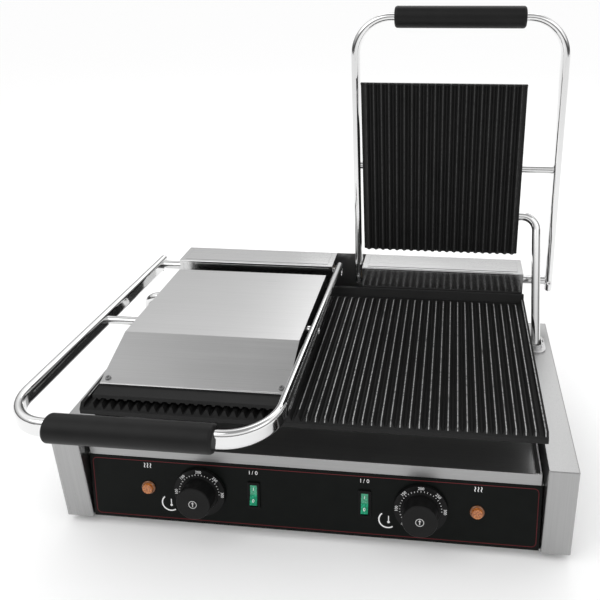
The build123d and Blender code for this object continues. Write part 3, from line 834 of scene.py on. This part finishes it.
@dataclass
class Thermostat:
    """A knob with a printed dial on its skirt."""

    bench: Bench
    panel: ControlPanel
    side: Side
    skirt: float = 4.0
    face: float = 22.6
    numbers: tuple[str, ...] = ("50", "100", "150", "200", "250", "300")
    first: float = 135.0
    degrees_apart: float = 45.0
    number_radius: float = 26.2
    ticks: int = 26
    tick_apart: float = 9.0
    tick_radius: float = 22.8

    def build(self) -> None:
        """Models the dial's numbers and ticks and the pointer on the face."""
        bench, tag = self.bench, self.side.tag
        x = self.side.value * self.panel.knob_x
        for step, number in enumerate(self.numbers):
            angle = radians(self.first - step * self.degrees_apart)
            out = Matrix.Translation(Vector((0, self.number_radius, 0)) / MM)
            bench.done(bench.text(number, 4.6, 0.12), f"dial_{number}_{tag}", f"knob_{tag}", "white_print",
                       "knob_black", self.panel.face(x, 0, self.skirt + 0.04, angle) @ out)
        ticks = []
        for step in range(self.ticks):
            tick = bench.block((0.55, 1.5, 0.12), 0.05, 1)
            turn = Matrix.Rotation(radians(self.first - step * self.tick_apart), 4, "Z")
            tick.matrix_world = turn @ Matrix.Translation(Vector((0, self.tick_radius, 0.04)) / MM)
            ticks.append(tick)
        bench.done(bench.join(ticks), f"dial_ticks_{tag}", f"knob_{tag}", "white_print", "knob_black",
                   self.panel.face(x, 0, self.skirt + 0.02))
        ring = bench.ring(3.9, 4.6, 0.15)
        bench.done(ring, f"pointer_ring_{tag}", f"knob_{tag}", "grey_print", "knob_black",
                   self.panel.face(x, 0, self.face))
        outline = ((-0.5, -2.6), (0.5, -2.6), (0.5, 0.9), (1.6, 0.9), (0.0, 3.2), (-1.6, 0.9), (-0.5, 0.9))
        arrow = bench.plate(outline, 0.15)
        bench.done(arrow, f"pointer_arrow_{tag}", f"knob_{tag}", "grey_print", "knob_black",
                   self.panel.face(x, 0, self.face))

    def dress(self) -> None:
        """Gives the knob and its spindle their finishes."""
        tag = self.side.tag
        self.bench.shop.dress("knob_black", f"thermostat_knob_{tag}")
        self.bench.shop.dress("plated_steel", f"thermostat_spindle_{tag}")


@dataclass
class SwitchAndLamp:
    """A lit rocker switch and the heating lamp of one half."""

    bench: Bench
    panel: ControlPanel
    side: Side
    axis_depth: float = 6.0
    rest: float = -10.0
    mark_reach: float = 6.6
    mark_out: float = 8.42
    rocker_rise: tuple[float, float] = (1.7, 11.2)

    def build(self) -> None:
        """Models the lamp's bezel and the marks on the rocker."""
        bench, tag = self.bench, self.side.tag
        profile = ((6.1, 0.0), (7.9, 0.0), (7.9, 0.9), (7.4, 1.6), (6.5, 1.9), (6.1, 1.6), (6.1, 0.0))
        bench.done(bench.spun(profile, 48), f"lamp_bezel_{tag}", "body", "amber_rim", "orange_lens",
                   self.panel.face(self.side.value * self.panel.lamp_x, 0, 0))
        axis = self.panel.face(self.side.value * self.panel.switch_x, 0, -self.axis_depth)
        rocker = axis @ Matrix.Rotation(radians(self.rest), 4, "X")
        fall = atan2(*self.rocker_rise)
        for name, end in (("0", -1), ("I", 1)):
            spot = Matrix.Translation(Vector((0, end * self.mark_reach, self.mark_out)) / MM)
            bench.done(bench.text(name, 5.2, 0.12), f"rocker_{name}_{tag}", f"rocker_{tag}", "white_print",
                       "green_lens", rocker @ spot @ Matrix.Rotation(end * fall, 4, "X"))

    def dress(self) -> None:
        """Gives the lamp and the switch their finishes."""
        tag = self.side.tag
        self.bench.shop.dress("orange_lens", f"indicator_lamp_{tag}")
        self.bench.shop.dress("green_lens", f"switch_rocker_{tag}")
        self.bench.shop.dress("switch_black", f"switch_housing_{tag}")


@dataclass
class Lid:
    """A lid with its bow, grip, rod, conduit and cover."""

    bench: Bench
    side: Side
    inner: float = 25.7
    width: float = 214.0
    hem: tuple[float, float] = (-103.0, -16.2)
    fold: tuple[float, float] = (-36.5, 8.3)
    rod_arm: float = 163.8
    pivot: tuple[float, float] = (305.0, 166.4)

    def plane(self) -> Matrix:
        """The lid's plane at its cross rod, with y towards the hinge."""
        tilt = radians(SHUT_TILT if self.side is Side.LEFT else OPEN_TILT)
        rod = Place.at(0, self.pivot[0] - self.rod_arm * cos(tilt), self.pivot[1] + self.rod_arm * sin(tilt))
        return Place.plane(rod, 0.0 if self.side is Side.LEFT else -pi / 2)

    def build(self) -> None:
        """Models the folded hem along the front of the cover."""
        slope = atan2(self.fold[1] - self.hem[1], self.fold[0] - self.hem[0])
        hem = self.bench.block((self.width, 2.4, 2.0), 0.7, 3)
        bpy.ops.object.shade_smooth_by_angle(angle=SMOOTH_BELOW)
        middle = self.side.value * (self.inner + self.width / 2)
        edge = self.plane() @ Matrix.Translation(Vector((middle, *self.hem)) / MM)
        inset = Matrix.Translation(Vector((0, 0.6, 0.6)) / MM)
        where = edge @ Matrix.Rotation(slope, 4, "X") @ inset
        tag = self.side.tag
        self.bench.done(hem, f"cover_hem_{tag}", f"lid_{tag}", "cover_steel", "cover_steel", where)

    def dress(self) -> None:
        """Gives the lid's nodes their finishes."""
        tag, dress = self.side.tag, self.bench.shop.dress
        dress("iron" if self.side is Side.LEFT else "open_lid_iron", f"upper_plate_{tag}")
        dress("cover_steel", f"lid_cover_{tag}")
        dress("screw_steel", f"arm_set_screws_{tag}", f"gland_screws_{tag}")
        dress("chrome", f"bow_handle_{tag}", f"conduit_{tag}")
        dress("spring_steel", f"cover_screws_{tag}")
        dress("plated_steel", f"hinge_shaft_{tag}", f"cross_rod_{tag}")
        dress("cast_zinc", f"conduit_gland_{tag}")
        dress("grip_black", f"grip_{tag}")


@dataclass(frozen=True)
class Lamp:
    """A square soft light."""

    name: str
    place: tuple[float, float, float]
    target: tuple[float, float, float]
    size: float
    power: float


@dataclass
class Studio:
    """Pale floor, soft light and the photograph's camera.

    The room's pairs are the height of a direction, from 0 below to 1 above, and what shiny surfaces see there.
    """

    lens: float = 37.98
    shift: tuple[float, float] = (-0.15, -0.19)
    camera: tuple[float, float, float] = (146.0, -648.8, 617.4)
    turn: tuple[float, float, float] = (69.776, 0.399, 5.710)
    floor_size: float = 40.0
    floor_dim: float = 0.50
    floor_pale: float = 0.98
    room: tuple[tuple[float, float], ...] = (
        (0.0, 0.12), (0.10, 0.08), (0.28, 0.50), (0.46, 0.85),
        (0.56, 1.20), (0.74, 1.10), (0.86, 0.55), (1.0, 0.36))
    lamps: tuple[Lamp, ...] = (
        Lamp("key", (-0.9, -0.7, 1.6), (0.0, 0.0, 0.15), 1.1, 5.5),
        Lamp("fill", (1.3, -0.6, 1.3), (0.0, 0.0, 0.15), 1.0, 2.0),
        Lamp("top", (0.1, 1.3, 1.5), (0.0, 0.0, 0.1), 1.2, 5.0),
    )

    def build(self) -> None:
        """Makes the floor, world, lights and camera."""
        self.floor()
        self.world()
        for lamp in self.lamps:
            self.light(lamp)
        self.aim()

    def floor(self) -> None:
        """A wide floor under the feet, pale to the camera, metal and glass and dimmer as a bounce."""
        bpy.ops.object.select_all(action="DESELECT")
        bpy.ops.mesh.primitive_plane_add(size=self.floor_size, location=(0, 0, -0.0002))
        floor = bpy.context.object
        floor.name = "floor"
        graph = Graph("floor_white")
        seen = graph.node("ShaderNodeLightPath", {}, {}, "Is Camera Ray")
        through = graph.node("ShaderNodeLightPath", {}, {}, "Is Transmission Ray")
        glossy = graph.node("ShaderNodeLightPath", {}, {}, "Is Glossy Ray")
        colour = graph.tint(seen + through + glossy, grey(self.floor_dim), grey(self.floor_pale))
        graph.set(Base_Color=colour, Roughness=0.9, Specular_IOR_Level=0.0)
        floor.data.materials.append(graph.material)

    def world(self) -> None:
        """White to the camera and to matt surfaces, and a graded room to shiny ones."""
        world = bpy.data.worlds.new("room")
        bpy.context.scene.world = world
        world.use_nodes = True
        nodes, links = world.node_tree.nodes, world.node_tree.links
        nodes.clear()
        output = nodes.new("ShaderNodeOutputWorld")
        mix = nodes.new("ShaderNodeMixShader")
        plain = nodes.new("ShaderNodeBackground")
        plain.inputs["Color"].default_value = (1, 1, 1, 1)
        room = nodes.new("ShaderNodeBackground")
        path = nodes.new("ShaderNodeLightPath")
        where = nodes.new("ShaderNodeTexCoord")
        split = nodes.new("ShaderNodeSeparateXYZ")
        ramp = nodes.new("ShaderNodeValToRGB")
        stops = ramp.color_ramp.elements
        (_, lowest), *between, (_, highest) = self.room
        stops[0].color = (*grey(lowest), 1)
        stops[1].color = (*grey(highest), 1)
        for position, value in between:
            stops.new(position).color = (*grey(value), 1)
        links.new(where.outputs["Generated"], split.inputs[0])
        links.new(split.outputs["Z"], ramp.inputs["Fac"])
        links.new(ramp.outputs["Color"], room.inputs["Color"])
        links.new(path.outputs["Is Glossy Ray"], mix.inputs["Fac"])
        links.new(plain.outputs[0], mix.inputs[1])
        links.new(room.outputs[0], mix.inputs[2])
        links.new(mix.outputs[0], output.inputs["Surface"])

    def light(self, lamp: Lamp) -> None:
        """Adds a soft light that points at its target."""
        bpy.ops.object.light_add(type="AREA", location=lamp.place)
        light = bpy.context.object
        light.name = lamp.name
        light.data.size = lamp.size
        light.data.energy = lamp.power
        aim = Vector(lamp.target) - Vector(lamp.place)
        light.rotation_euler = aim.to_track_quat("-Z", "Y").to_euler()

    def aim(self) -> None:
        """Sets the camera to the photograph's view."""
        bpy.ops.object.camera_add()
        camera = bpy.context.object
        camera.name = "photo_camera"
        camera.data.sensor_width = 36
        camera.data.lens = self.lens
        camera.data.shift_x, camera.data.shift_y = self.shift
        camera.data.clip_end = 100
        camera.location = Vector(self.camera) / MM
        camera.rotation_euler = [radians(angle) for angle in self.turn]
        bpy.context.scene.camera = camera
        bpy.context.scene.view_settings.view_transform = "Standard"


def main() -> None:
    """Dresses the grill, one sub-assembly after another, and sets up the studio."""
    bench = Bench(Shop())
    bench.clear()
    body = Body(bench)
    body.dress()
    panel = ControlPanel(bench)
    panel.build()
    panel.dress()
    for side in Side:
        parts = (SpringHousing(bench, side), Thermostat(bench, panel, side),
                 SwitchAndLamp(bench, panel, side), Lid(bench, side))
        for part in parts:
            part.build()
            part.dress()
            log.info("%s %s done", type(part).__name__, side.tag)
    Studio().build()


if __name__ == "__main__":
    main()
